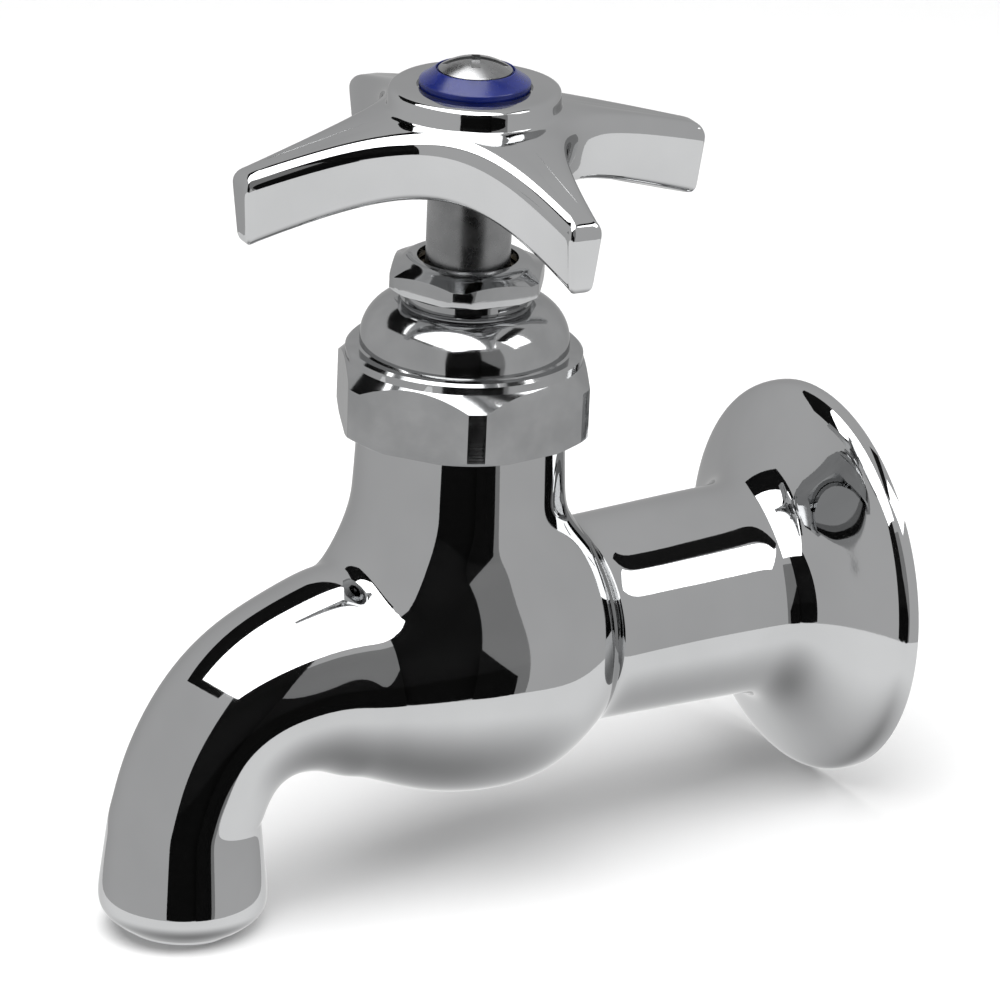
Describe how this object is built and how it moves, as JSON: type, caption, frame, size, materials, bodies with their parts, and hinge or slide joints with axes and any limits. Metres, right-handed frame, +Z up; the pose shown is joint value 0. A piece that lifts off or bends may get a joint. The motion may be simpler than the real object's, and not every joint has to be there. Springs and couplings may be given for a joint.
{
  "type": "hose bib",
  "caption": "Polished wall-mounted sill faucet with a round wall flange, short bent spout, hex bonnet, packing nut and a cross handle on a rising stem.",
  "frame": {"origin": "centre of the flange's wall face, on the inlet axis", "axes": "+Y points into the wall along the inlet, +Z up along the stem, +X to the right of someone facing the wall; the spout points to -Y"},
  "size_m": [0.0702, 0.1136, 0.121],
  "materials": {
    "polished_chrome": "mirror-polished chrome plate on brass",
    "turned_chrome": "chrome plate over a turned surface",
    "satin_steel": "satin turned metal",
    "brass": "unplated machined brass",
    "rubber": "black rubber",
    "fibre": "pressed red fibre",
    "packing": "white braided packing",
    "blue_plastic": "glossy blue moulded plastic"
  },
  "bodies": {
    "valve_body": {"faucet_body": "polished_chrome", "seat_gasket": "fibre", "valve_seat": "brass", "cartridge_sleeve": "brass", "sleeve_o_ring": "rubber", "bonnet_gasket": "fibre", "bonnet": "turned_chrome", "packing_washer": "brass", "packing_ring_lower": "packing", "packing_ring_upper": "packing", "packing_gland": "brass", "packing_nut": "turned_chrome"},
    "seat_washer_lift": {"seat_washer": "rubber"},
    "spindle_and_handle": {"spindle": "satin_steel", "washer_screw": "brass", "handle": "polished_chrome", "index_ring": "blue_plastic", "handle_screw": "satin_steel"}
  },
  "joints": [
    {"name": "stem_rise", "type": "slide", "parent": "valve_body", "child": "seat_washer_lift", "axis": [0, 0, 1], "range_m": [0, 0.00375]},
    {"name": "handle_turn", "type": "hinge", "parent": "seat_washer_lift", "child": "spindle_and_handle", "pos_m": [0, -0.0596, 0.06], "axis": [0, 0, 1], "range_deg": [0, 540]}
  ],
  "couplings": [
    {"joint": "stem_rise", "follows": "handle_turn", "m_per_rad": 0.00039789}
  ]
}
